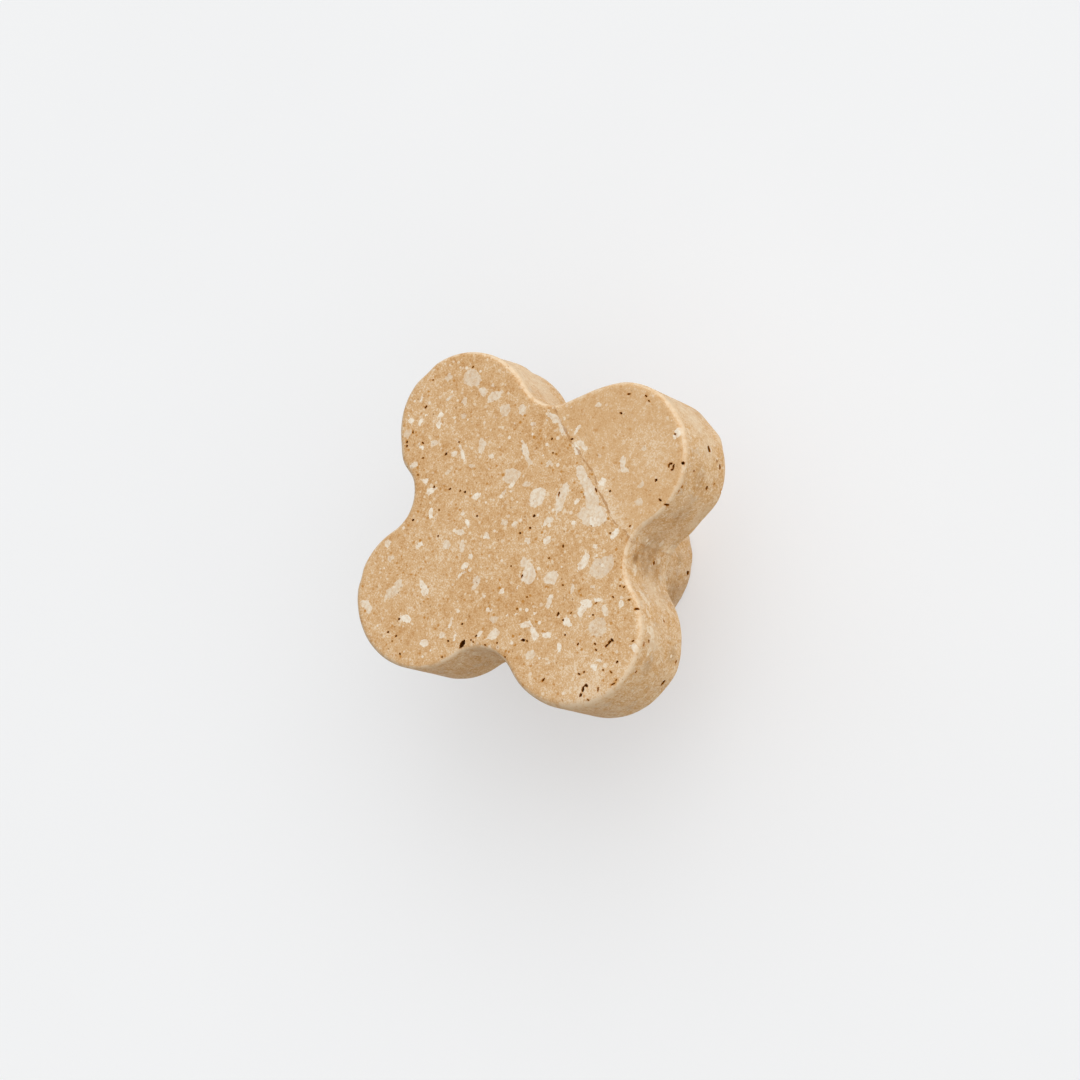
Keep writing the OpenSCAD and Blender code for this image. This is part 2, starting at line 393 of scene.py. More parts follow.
def photo_ray(across, down):
    """Direction from the camera through a pixel of the photo."""
    focal = LENS / SENSOR * PHOTO_SIZE
    sideways = (across - PHOTO_SIZE / 2) / focal
    upwards = (PHOTO_SIZE / 2 - down) / focal
    return (camera_forward + camera_right * sideways + camera_up * upwards).normalized()


def on_level(across, down, z):
    """Where a pixel of the photo meets the level plane at that height."""
    ray = photo_ray(across, down)
    return camera_at + ray * ((z - camera_at.z) / ray.z)


def add_camera():
    camera_data = bpy.data.cameras.new("photo_camera")
    camera_data.sensor_width = SENSOR
    camera_data.lens = LENS
    camera_data.clip_start = NEAREST_SEEN * MM
    camera = bpy.data.objects.new("photo_camera", camera_data)
    bpy.context.scene.collection.objects.link(camera)
    camera.location = camera_at * MM
    axes = Matrix((camera_right, camera_up, -camera_forward))
    camera.rotation_euler = axes.transposed().to_euler()
    bpy.context.scene.camera = camera


# The stone's true shape

class Outline:
    """The clover as columns round its outline, each a point on an arc whose radius can be inset."""

    def __init__(self):
        reach = math.atan2(VALLEY_AT - PETAL_AT, -PETAL_AT)
        petal_turns = np.linspace(math.pi / 2 - reach, reach, PETAL_STEPS, endpoint=False)
        valley_turns = np.linspace(reach - math.pi, -reach, VALLEY_STEPS, endpoint=False)
        arcs = (
            (PETAL_AT, PETAL_AT, PETAL_R, -1, petal_turns),
            (0, VALLEY_AT, VALLEY_R, 1, valley_turns),
        )
        columns = []
        for petal in range(PETAL_COUNT):
            quarter = petal * math.pi / 2
            for x, y, radius, sense, turns in arcs:
                turned_x = x * math.cos(quarter) - y * math.sin(quarter)
                turned_y = x * math.sin(quarter) + y * math.cos(quarter)
                columns += [(turned_x, turned_y, radius, sense, turn + quarter) for turn in turns]
        x, y, self.radii, self.senses, turns = np.array(columns).T
        self.centres = np.column_stack([x, y])
        self.rays = np.column_stack([np.cos(turns), np.sin(turns)])
        self.count = len(columns)
        border = self.at(0)
        polar = np.arctan2(border[:, 1], border[:, 0])
        self.round_rays = np.column_stack([np.cos(polar), np.sin(polar)])

    def at(self, inset):
        """Outline points, each moved inwards by its inset."""
        reach = self.radii + self.senses * inset
        return self.centres + self.rays * reach[:, None]


def inside_clover(x, y, inset):
    """Whether a point lies inside the clover's outline by more than the inset."""
    x, y = abs(x), abs(y)
    if math.hypot(x - PETAL_AT, y - PETAL_AT) < PETAL_R - inset:
        return True
    fall = (PETAL_AT - VALLEY_AT) / PETAL_AT
    in_core = y < VALLEY_AT + x * fall and x < VALLEY_AT + y * fall
    clear = VALLEY_R + inset
    return in_core and math.hypot(x, y - VALLEY_AT) > clear and math.hypot(x - VALLEY_AT, y) > clear


dent_places = [
    (on_level(across, down, z), radius, depth)
    for across, down, z, radius, depth in DENTS
]
worn_places = [
    (on_level(across, down, KNOB_H).xy, reach, extra)
    for across, down, reach, extra in WORN_EDGES
]


def wear(x, y, z):
    """How far the ground stone lies inside its true shape at a point of its walls."""
    place = Vector((x, y, z))
    hollow = WAVE_DEPTH * ((1 + noise.noise(place / WAVE_LENGTH)) / 2) ** 2
    hollow += RIPPLE_DEPTH * ((1 + noise.noise(place / RIPPLE_LENGTH)) / 2) ** 2
    rim = max(0, 1 - z / RIM_BUMP_HEIGHT)
    hollow += rim * RIM_BUMP_DEPTH * (1 + noise.noise(place / RIM_BUMP_LENGTH)) / 2
    for centre, radius, depth in dent_places:
        away = (place - centre).length / radius
        if away < 1:
            hollow += depth * (1 - away ** 2) ** 2
    return hollow


def extra_rounding(x, y):
    """How much wider the front edge is worn near this place."""
    place = Vector((x, y))
    return sum(
        extra * math.exp(-((place - centre).length / reach) ** 2)
        for centre, reach, extra in worn_places
    )


def edge_radii(points, z):
    """Rounding of the head's edge at each column, which changes a little round the outline."""
    radii = []
    for x, y in points:
        change = EDGE_CHANGE * noise.noise(Vector((x, y, z)) / EDGE_CHANGE_LENGTH)
        extra = extra_rounding(x, y) if z == KNOB_H else 0
        radii.append(EDGE_R * (1 + change) + extra)
    return np.array(radii)


def level_row(points, z):
    return np.column_stack([points, np.broadcast_to(z, len(points))])


def worn_row(outline, inset, z):
    """A row of points on the head's wall, inset and worn, and kept inside the knob's box."""
    points = outline.at(np.broadcast_to(inset, outline.count))
    heights = np.broadcast_to(z, outline.count)
    hollow = np.array([wear(x, y, height) for (x, y), height in zip(points, heights)])
    inside_box = np.clip(outline.at(inset + hollow), -HEAD_W / 2, HEAD_W / 2)
    return level_row(inside_box, heights)


def worn_circle(outline, radius, z):
    """A row of points on the stem, worn."""
    points = outline.round_rays * radius
    hollow = np.array([wear(x, y, z) for x, y in points])
    return level_row(outline.round_rays * (radius - hollow)[:, None], z)


def quarter_steps():
    """Sine and cosine of equal steps through a quarter turn."""
    turns = np.linspace(0, math.pi / 2, EDGE_STEPS + 1)
    return list(zip(np.sin(turns), np.cos(turns)))


def shares(steps):
    """Equal shares of the way from one row to another, up to 1."""
    return np.linspace(0, 1, steps + 1)[1:]


def stone_rows(outline):
    """Rows of points from the border of the front face, down the outside and up into the socket."""
    border = outline.at(0)
    front_r = edge_radii(border, KNOB_H)
    back_r = edge_radii(border, STEM_L)
    rows = []
    for sine, cosine in quarter_steps():
        rows.append(worn_row(outline, front_r * (1 - sine), KNOB_H - front_r * (1 - cosine)))
    wall_top = KNOB_H - front_r
    for share in shares(WALL_STEPS)[:-1]:
        rows.append(worn_row(outline, 0, wall_top + (STEM_L + back_r - wall_top) * share))
    for sine, cosine in quarter_steps():
        rows.append(worn_row(outline, back_r * (1 - cosine), STEM_L + back_r * (1 - sine)))
    back_border = rows[-1]
    root = worn_circle(outline, STEM_R + STEM_ROOT_R, STEM_L)
    for share in shares(BACK_STEPS)[:-1]:
        rows.append(back_border * (1 - share) + root * share)
    for sine, cosine in quarter_steps():
        radius = STEM_R + STEM_ROOT_R * (1 - sine)
        rows.append(worn_circle(outline, radius, STEM_L - STEM_ROOT_R * (1 - cosine)))
    stem_top = STEM_L - STEM_ROOT_R
    for share in shares(STEM_STEPS)[:-1]:
        rows.append(worn_circle(outline, STEM_R, stem_top + (STEM_EDGE_R - stem_top) * share))
    for sine, cosine in quarter_steps():
        radius = STEM_R - STEM_EDGE_R * (1 - cosine)
        rows.append(worn_circle(outline, radius, STEM_EDGE_R * (1 - sine)))
    end_border = rows[-1]
    socket_ring = outline.round_rays * SOCKET_R
    socket_mouth = level_row(socket_ring, 0)
    for share in shares(BACK_STEPS):
        rows.append(end_border * (1 - share) + socket_mouth * share)
    for share in shares(SOCKET_STEPS):
        rows.append(level_row(socket_ring, SOCKET_DEPTH * share))
    for share in np.linspace(1, 0, SOCKET_STEPS + 1)[1:-1]:
        rows.append(level_row(socket_ring * share, SOCKET_DEPTH))
    return rows


def face_grid_points():
    """Points of a triangular grid that fills the front face, clear of its border."""
    points = []
    row_step = FACE_GRID * math.sqrt(3) / 2
    row_count = int(HEAD_W / row_step)
    column_count = int(HEAD_W / FACE_GRID)
    for row in range(row_count):
        y = row * row_step - HEAD_W / 2
        shift = FACE_GRID / 2 * (row % 2)
        for column in range(column_count):
            x = column * FACE_GRID + shift - HEAD_W / 2
            clear = EDGE_R * (1 + EDGE_CHANGE) + FACE_GRID + extra_rounding(x, y)
            if inside_clover(x, y, clear):
                points.append((x, y))
    return points


def join_rows(faces, first, second, count):
    """Adds the quads between two rows of vertices that start at these indices."""
    for column in range(count):
        following = (column + 1) % count
        faces.append((first + column, second + column, second + following, first + following))


def stone_shape():
    """Vertices and faces of the stone before its pits, in millimetres."""
    outline = Outline()
    rows = stone_rows(outline)
    count = outline.count
    vertices = [tuple(point) for row in rows for point in row]
    faces = []
    for row in range(len(rows) - 1):
        join_rows(faces, row * count, (row + 1) * count, count)
    middle = len(vertices)
    vertices.append((0, 0, SOCKET_DEPTH))
    last = (len(rows) - 1) * count
    for column in range(count):
        faces.append((last + column, middle, last + (column + 1) % count))
    border = [Vector(point[:2]) for point in rows[0]]
    flat_points = border + [Vector(point) for point in face_grid_points()]
    border_edges = [(column, (column + 1) % count) for column in range(count)]
    filled = delaunay_2d_cdt(flat_points, border_edges, [], INSIDE_ONLY, FILL_GAP)
    places = []
    for point, sources in zip(filled[0], filled[3]):
        if sources and sources[0] < count:
            places.append(sources[0])
        else:
            places.append(len(vertices))
            vertices.append((point.x, point.y, KNOB_H))
    for triangle in filled[2]:
        faces.append(tuple(places[corner] for corner in triangle))
    return vertices, faces


def new_object(name, vertices, faces):
    mesh = bpy.data.meshes.new(name)
    mesh.from_pydata(vertices, [], faces)
    mesh.validate()
    piece = bpy.data.objects.new(name, mesh)
    bpy.context.scene.collection.objects.link(piece)
    return piece


def finish_mesh(piece, crease):
    """Brings a piece from millimetres to metres and shades it smooth, with creases kept sharp."""
    piece.data.transform(Matrix.Scale(MM, 4))
    piece.data.shade_smooth()
    piece.data.set_sharp_from_angle(angle=crease)
    piece.data.name = piece.name


# Pits

def unit_ball():
    """Vertices and triangles of a ball of radius 1."""
    ball = bmesh.new()
    bmesh.ops.create_icosphere(ball, subdivisions=BALL_STEPS, radius=1)
    ball.verts.index_update()
    points = [vertex.co.copy() for vertex in ball.verts]
    triangles = [[vertex.index for vertex in face.verts] for face in ball.faces]
    ball.free()
    return points, triangles


ball_points, ball_triangles = unit_ball()


def along_surface(direction, normal):
    """The direction, laid flat on the surface with that normal."""
    return (direction - normal * direction.dot(normal)).normalized()


def random_vector(chance):
    return Vector([chance.gauss(0, 1) for _ in range(3)])


def photo_surface_frame(tree, across, down, turn):
    """Place, direction along the turn and normal where a pixel of the photo meets the stone."""
    place, normal, _, _ = tree.ray_cast(camera_at, photo_ray(across, down))
    if place is None:
        raise ValueError(f"no stone at photo pixel {across}, {down}")
    angle = math.radians(turn)
    along = camera_right * math.cos(angle) + camera_up * math.sin(angle)
    return place, along_surface(along, normal), normal


def photo_pits(tree):
    pits = []
    for across, down, length, width, turn in PITS:
        place, along, normal = photo_surface_frame(tree, across, down, turn)
        pits.append((place, along, normal, length, width))
    return pits


def hidden_pits(vertices, faces, chance, taken):
    """Pits scattered over what the photo doesn't show, with none in the insert's socket."""
    corners = np.array([(face[0], face[1], face[2]) for face in faces if len(face) == 4])
    points = np.array(vertices)
    first, second, third = (points[corners[:, corner]] for corner in range(3))
    spans = np.cross(second - first, third - first)
    running = np.cumsum(np.linalg.norm(spans, axis=1))
    pits = []
    while len(pits) < HIDDEN_PIT_COUNT:
        pick = int(np.searchsorted(running, chance.random() * running[-1]))
        place = Vector(points[corners[pick]].mean(axis=0))
        normal = Vector(spans[pick]).normalized()
        seen = normal.dot(camera_at - place) > 0
        if seen or math.hypot(place.x, place.y) < SOCKET_R + HIDDEN_PIT_SPACING:
            continue
        if any((place - other[0]).length < HIDDEN_PIT_SPACING for other in taken + pits):
            continue
        width = HIDDEN_PIT_W + HIDDEN_PIT_W_SPREAD * chance.random() ** 3
        length = width * (1 + HIDDEN_PIT_STRETCH * chance.random() ** 2)
        if chance.random() < LARGE_PIT_CHANCE:
            width = LARGE_PIT_W
            length = LARGE_PIT_L + LARGE_PIT_L_SPREAD * chance.random()
        along = along_surface(random_vector(chance), normal)
        pits.append((place, along, normal, length, width))
    return pits


def pit_blob(pit, chance):
    """Vertices of an uneven blob that is cut out of the stone to leave one pit."""
    place, along, normal, length, width = pit
    beside = normal.cross(along)
    depth = width * PIT_DEPTH
    shift = Vector([chance.uniform(-PIT_SHIFT, PIT_SHIFT) for _ in range(3)])
    start = place - normal * depth * PIT_SINK
    points = []
    for on_ball in ball_points:
        swell = 1 + PIT_ROUGHNESS * noise.noise(on_ball * PIT_LUMPS + shift)
        swell += PIT_ROUGHNESS / 2 * noise.noise(on_ball * PIT_BUMPS + shift)
        local = on_ball * swell
        points.append(
            start
            + along * (local.x * length / 2)
            + beside * (local.y * width / 2)
            + normal * (local.z * depth)
        )
    return points


def pit_layers(pits):
    """The pits in layers, so that no two of one layer overlap."""
    layers = []
    for pit in pits:
        for layer in layers:
            gaps = [
                (pit[0] - other[0]).length - (pit[3] + other[3]) * PIT_CLEARANCE
                for other in layer
            ]
            if min(gaps) > 0:
                layer.append(pit)
                break
        else:
            layers.append([pit])
    return layers


def cut_pits(stone, pits, chance):
    """Cuts every pit out of the stone's mesh."""
    for layer in pit_layers(pits):
        vertices = []
        faces = []
        for pit in layer:
            first = len(vertices)
            vertices += pit_blob(pit, chance)
            faces += [tuple(first + corner for corner in triangle) for triangle in ball_triangles]
        cutter = new_object("pit_cutter", vertices, faces)
        cut = stone.modifiers.new("pits", "BOOLEAN")
        cut.operation = "DIFFERENCE"
        cut.solver = "MANIFOLD"
        cut.object = cutter
        depsgraph = bpy.context.evaluated_depsgraph_get()
        pitted = bpy.data.meshes.new_from_object(stone.evaluated_get(depsgraph))
        stone.modifiers.clear()
        stone.data = pitted
        bpy.data.objects.remove(cutter)


def weld(mesh):
    """Joins points that the cuts left on top of each other, and drops the faces that this folds flat."""
    shape = bmesh.new()
    shape.from_mesh(mesh)
    bmesh.ops.triangulate(shape, faces=shape.faces)
    bmesh.ops.remove_doubles(shape, verts=shape.verts, dist=WELD_GAP)
    shape.verts.index_update()
    alike = {}
    for face in shape.faces:
        corners = frozenset(vertex.index for vertex in face.verts)
        alike.setdefault(corners, []).append(face)
    folded = [face for faces in alike.values() if len(faces) > 1 for face in faces]
    bmesh.ops.delete(shape, geom=folded, context="FACES")
    shape.to_mesh(mesh)
    shape.free()


# What the stone's colour follows, written on its vertices

def clast_frames(tree, chance):
    """Centre, three axes scaled to half sizes, and tone of every pale clast in the block."""
    frames = []
    for across, down, length, width, turn, tone in CLASTS:
        place, along, normal = photo_surface_frame(tree, across, down, turn)
        beside = normal.cross(along)
        frames.append((place, along * length / 2, beside * width / 2, normal * width / 2, tone))
    reach = HIDDEN_CLAST_REACH
    while len(frames) < len(CLASTS) + HIDDEN_CLAST_COUNT:
        x = chance.uniform(-reach, reach)
        y = chance.uniform(-reach, reach)
        place = Vector((x, y, chance.uniform(0, HIDDEN_CLAST_TOP)))
        along = random_vector(chance).normalized()
        beside = along.orthogonal().normalized()
        width = HIDDEN_CLAST_W + HIDDEN_CLAST_W_SPREAD * chance.random() ** 2
        length = width * (1 + HIDDEN_CLAST_STRETCH * chance.random())
        tone = HIDDEN_CLAST_TONE + HIDDEN_CLAST_TONE_SPREAD * chance.random()
        axes = (along * length / 2, beside * width / 2, along.cross(beside) * width / 2)
        frames.append((place, *axes, tone))
    return frames


def clast_fields(points, frames, chance):
    """Depth inside the nearest clast in millimetres, below zero outside, and that clast's tone."""
    depth_inside = np.full(len(points), CLAST_FAR)
    tones = np.zeros(len(points))
    for place, along, beside, outward, tone in frames:
        halves = [along.length, beside.length, outward.length]
        sides = np.array([[chance.gauss(0, 1) for _ in range(3)] for _ in range(CLAST_SIDES)])
        sides /= np.linalg.norm(sides, axis=1)[:, None]
        reaches = np.array([chance.uniform(*CLAST_REACHES) for _ in range(CLAST_SIDES)])
        away = points - np.array(place)
        near = np.nonzero((away ** 2).sum(axis=1) < (max(halves) + CLAST_MARGIN) ** 2)[0]
        if len(near) == 0:
            continue
        axes = np.array([along / halves[0] ** 2, beside / halves[1] ** 2, outward / halves[2] ** 2])
        local = away[near] @ axes.T
        radial = np.linalg.norm(local, axis=1)
        faceted = (local @ sides.T / reaches).max(axis=1)
        field = (1 - np.maximum(faceted, radial * CLAST_ROUNDNESS)) * min(halves)
        better = field > depth_inside[near]
        depth_inside[near[better]] = field[better]
        tones[near[better]] = tone
    return depth_inside, tones


def vein_distance(points):
    """Signed distance of each point from the vein, which runs straight down into the block."""
    line = np.array([on_level(across, down, KNOB_H)[:2] for across, down in VEIN])
    best = np.full(len(points), np.inf)
    for start, end in zip(line[:-1], line[1:]):
        span = end - start
        share = np.clip((points[:, :2] - start) @ span / (span @ span), 0, 1)
        offset = points[:, :2] - start - share[:, None] * span
        distance = np.linalg.norm(offset, axis=1)
        side = np.sign(span[0] * offset[:, 1] - span[1] * offset[:, 0])
        closer = distance < np.abs(best)
        best[closer] = (distance * side)[closer]
    return best


def tone_change(points):
    """How much lighter or darker the stone is at each point, the same through its depth."""
    change = np.zeros(len(points))
    for across, down, radius, amount in TONES:
        centre = np.array(on_level(across, down, KNOB_H)[:2])
        away = np.linalg.norm(points[:, :2] - centre, axis=1) / radius
        change += amount * np.exp(-away ** 2)
    return change


def patch_strength(points, tree, patches):
    """How strongly the strongest of these patches colours each point."""
    strongest = np.zeros(len(points))
    for across, down, radius, strength in patches:
        place, _, _ = photo_surface_frame(tree, across, down, 0)
        away = np.linalg.norm(points - np.array(place), axis=1) / radius
        strongest = np.maximum(strongest, strength * np.clip(1 - away ** 2, 0, 1))
    return strongest


def pit_halo(points, pit_depth):
    """How close each point lies to a pit, from 0 well away to 1 in the pit and at its rim."""
    in_pit = [Vector(point) for point, depth in zip(points, pit_depth) if depth > PIT_RIM_DEPTH]
    near_pits = KDTree(len(in_pit))
    for index, point in enumerate(in_pit):
        near_pits.insert(point, index)
    near_pits.balance()
    distances = np.array([near_pits.find(Vector(point))[2] for point in points])
    return np.clip(1 - distances / PIT_HALO, 0, 1)


def describe_stone(mesh, tree, chance):
    """Writes on each vertex its pit, edge, wall, clast, vein, dark patch (stains and painted shade), pale
    patch (paler stone and painted light) and tone values.
    """
    points = np.zeros(len(mesh.vertices) * 3, np.float32)
    mesh.vertices.foreach_get("co", points)
    points = points.reshape(-1, 3).astype(float)
    pit_depth = []
    edge = []
    wall = []
    for x, y, z in points:
        _, normal, _, distance = tree.find_nearest(Vector((x, y, z)))
        rise = abs(normal.z)
        pit_depth.append(distance)
        in_root = abs(z - STEM_L) < STEM_ROOT_R and math.hypot(x, y) < STEM_R + STEM_ROOT_R
        edge.append(0 if in_root else 4 * rise * (1 - rise))
        wall.append(1 - rise)
    depth_inside, clast_tones = clast_fields(points, clast_frames(tree, chance), chance)
    described = {
        "pit_depth": pit_depth,
        "pit_halo": pit_halo(points, pit_depth),
        "edge": edge,
        "wall": wall,
        "clast": depth_inside,
        "clast_tone": clast_tones,
        "vein": vein_distance(points),
        # Darker patches: stains and painted shade in the valleys. Pale patches: paler stone and painted
        # light on the walls that face the light.
        "dark_patch": patch_strength(points, tree, STAINS_AND_VALLEY_SHADE),
        "dust_and_glare": patch_strength(points, tree, DUST_AND_GLARE_PATCHES),
        "tone": tone_change(points),
    }
    for name, values in described.items():
        attribute = mesh.attributes.new(name, "FLOAT", "POINT")
        attribute.data.foreach_set("value", np.asarray(values, np.float32))


def add_stone():
    chance = random.Random(SEED)
    vertices, faces = stone_shape()
    tree = BVHTree.FromPolygons(vertices, faces)
    stone = new_object("travertine_knob", vertices, faces)
    shown = photo_pits(tree)
    cut_pits(stone, shown + hidden_pits(vertices, faces, chance, shown), chance)
    weld(stone.data)
    describe_stone(stone.data, tree, chance)
    finish_mesh(stone, STONE_CREASE)
    stone.data.materials.clear()
    stone.data.materials.append(Travertine().owner)
    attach(stone, "root")
    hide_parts("stone_body")


# Brass insert

def thread_radius(turns):
    """Radius of the thread's wall at a share of one pitch: flat crest, flank, flat root, flank."""
    ends = np.cumsum([THREAD_CREST, THREAD_FLANK, THREAD_ROOT, THREAD_FLANK])
    radii = [THREAD_MINOR_R, THREAD_MAJOR_R, THREAD_MAJOR_R, THREAD_MINOR_R]
    return np.interp(turns % 1, ends, radii)


def insert_outside():
    """Half profile of the insert's outside, from the rim of its inner end down to its outer end."""
    length = INSERT_TOP - INSERT_BOTTOM
    chamfered = INSERT_R - INSERT_CHAMFER
    profile = [(chamfered, INSERT_TOP), (INSERT_R, INSERT_TOP - INSERT_CHAMFER)]
    for groove in range(GROOVE_COUNT, 0, -1):
        middle = INSERT_BOTTOM + groove * length / (GROOVE_COUNT + 1)
        profile += [
            (INSERT_R, middle + GROOVE_W / 2),
            (INSERT_R - GROOVE_DEPTH, middle + GROOVE_W / 2),
            (INSERT_R - GROOVE_DEPTH, middle - GROOVE_W / 2),
            (INSERT_R, middle - GROOVE_W / 2),
        ]
    profile += [(INSERT_R, INSERT_BOTTOM + INSERT_CHAMFER), (chamfered, INSERT_BOTTOM)]
    return profile


def add_insert():
    turns = np.arange(INSERT_COLUMNS) / INSERT_COLUMNS
    rays = np.column_stack([np.cos(turns * 2 * math.pi), np.sin(turns * 2 * math.pi)])
    rows = [level_row(rays * radius, z) for radius, z in insert_outside()]
    row_count = round((INSERT_TOP - INSERT_BOTTOM) / THREAD_PITCH * THREAD_ROWS_PER_TURN)
    for z in np.linspace(INSERT_BOTTOM, INSERT_TOP, row_count + 1):
        lead = THREAD_MINOR_R + THREAD_LEAD - (z - INSERT_BOTTOM)
        radii = np.maximum(lead, thread_radius(z / THREAD_PITCH - turns))
        rows.append(level_row(rays * radii[:, None], z))
    vertices = [tuple(point) for row in rows for point in row]
    faces = []
    for row in range(len(rows)):
        following = (row + 1) % len(rows)
        join_rows(faces, row * INSERT_COLUMNS, following * INSERT_COLUMNS, INSERT_COLUMNS)
    insert = new_object("brass_insert", vertices, faces)
    finish_mesh(insert, INSERT_CREASE)
    insert.data.materials.append(brass())
    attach(insert, "root")
    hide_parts("threaded_insert")


# Materials

class Signal:
    """What a node gives at each point, for use in plain sums and products."""

    def __init__(self, tree, socket):
        self.tree = tree
        self.socket = socket

    def __add__(self, other):
        return self.tree.calc("ADD", self, other)

    def __sub__(self, other):
        return self.tree.calc("SUBTRACT", self, other)

    def __mul__(self, other):
        return self.tree.calc("MULTIPLY", self, other)

    def __abs__(self):
        return self.tree.calc("ABSOLUTE", self)

    def centred(self, amount):
        """A value between 0 and 1 as a change of up to half the amount either way."""
        return self * amount - amount / 2

    def step(self, low, high, start=0.0, end=1.0):
        """Rises smoothly from start to end as the value goes from low to high."""
        inputs = {"Value": self, "From Min": low, "From Max": high, "To Min": start, "To Max": end}
        return self.tree.add("MapRange", inputs, interpolation_type="SMOOTHSTEP")

    def beside(self, output):
        """Another output of the same node."""
        return Signal(self.tree, self.socket.node.outputs[output])


class Nodes:
    """The nodes of a material or a world, with short calls to add nodes and join them."""

    def __init__(self, owner):
        owner.use_nodes = True
        self.owner = owner
        self.nodes = owner.node_tree.nodes
        self.links = owner.node_tree.links

    def put(self, socket, value):
        if isinstance(value, Signal):
            self.links.new(value.socket, socket)
        else:
            socket.default_value = value

    def add(self, kind, inputs, output=0, **settings):
        """Adds a node with these inputs and settings, and gives one of its outputs."""
        node = self.nodes.new("ShaderNode" + kind)
        for name, value in settings.items():
            setattr(node, name, value)
        for name, value in inputs.items():
            self.put(node.inputs[name], value)
        return Signal(self, node.outputs[output])

    def calc(self, operation, *values):
        return self.add("Math", dict(enumerate(values)), operation=operation)

    def vector_calc(self, operation, first, second):
        return self.add("VectorMath", {0: first, 1: second}, operation=operation)

    def mix(self, share, first, second):
        return self.add("Mix", {0: share, 6: first, 7: second}, 2, data_type="RGBA")

    def seen_directly(self):
        """1 for rays from the camera, in mirrors and through glass, 0 for light on the object."""
        camera_ray = self.add("LightPath", {}, "Is Camera Ray")
        in_mirrors = self.calc("MAXIMUM", camera_ray, camera_ray.beside("Is Glossy Ray"))
        return self.calc("MAXIMUM", in_mirrors, camera_ray.beside("Is Transmission Ray"))


class Shader(Nodes):
    """A material, with textures whose sizes are in millimetres."""

    def __init__(self, name):
        super().__init__(bpy.data.materials.new(name))
        self.surface = self.nodes["Principled BSDF"]

    def set(self, name, value):
        self.put(self.surface.inputs[name], value)

    def attribute(self, name):
        return self.add("Attribute", {}, "Fac", attribute_name=name)

    def scaled(self, vector, factor):
        return self.add("VectorMath", {0: vector, "Scale": factor}, operation="SCALE")

    def millimetres(self):
        """Object coordinates in millimetres."""
        return self.scaled(self.add("TexCoord", {}, "Object"), 1 / MM)

    def cloud(self, vector, size, detail=3.0, roughness=0.55, output="Fac"):
        """Noise with features of about that many millimetres."""
        inputs = {"Vector": vector, "Scale": 1 / size, "Detail": detail, "Roughness": roughness}
        return self.add("TexNoise", inputs, output)

    def warped(self, vector, size, amount):
        """The coordinates, shifted unevenly by up to about that many millimetres."""
        cloud = self.cloud(vector, size, 2.0, 0.5, "Color")
        shift = self.vector_calc("SUBTRACT", cloud, (0.5, 0.5, 0.5))
        return self.vector_calc("ADD", vector, self.scaled(shift, 2 * amount))

    def spots(self, vector, spacing, rarity, sizes, edge):
        """Scattered spots with soft edges, and a random share for each of them.

        A second share sets their radius: the first size up to the rarity, and the second size at 1.
        """
        distance = self.add("TexVoronoi", {"Vector": vector, "Scale": 1 / spacing}, "Distance")
        pick = self.add("SeparateColor", {0: distance.beside("Color")})
        radius = pick.step(rarity, 1.0, *sizes)
        return (radius - distance * spacing).step(*edge), pick.beside(1)

    def bump(self, height, depth):
        """A normal from a height between 0 and 1 that stands for that many millimetres."""
        return self.add("Bump", {"Height": height, "Distance": depth * MM}, "Normal")


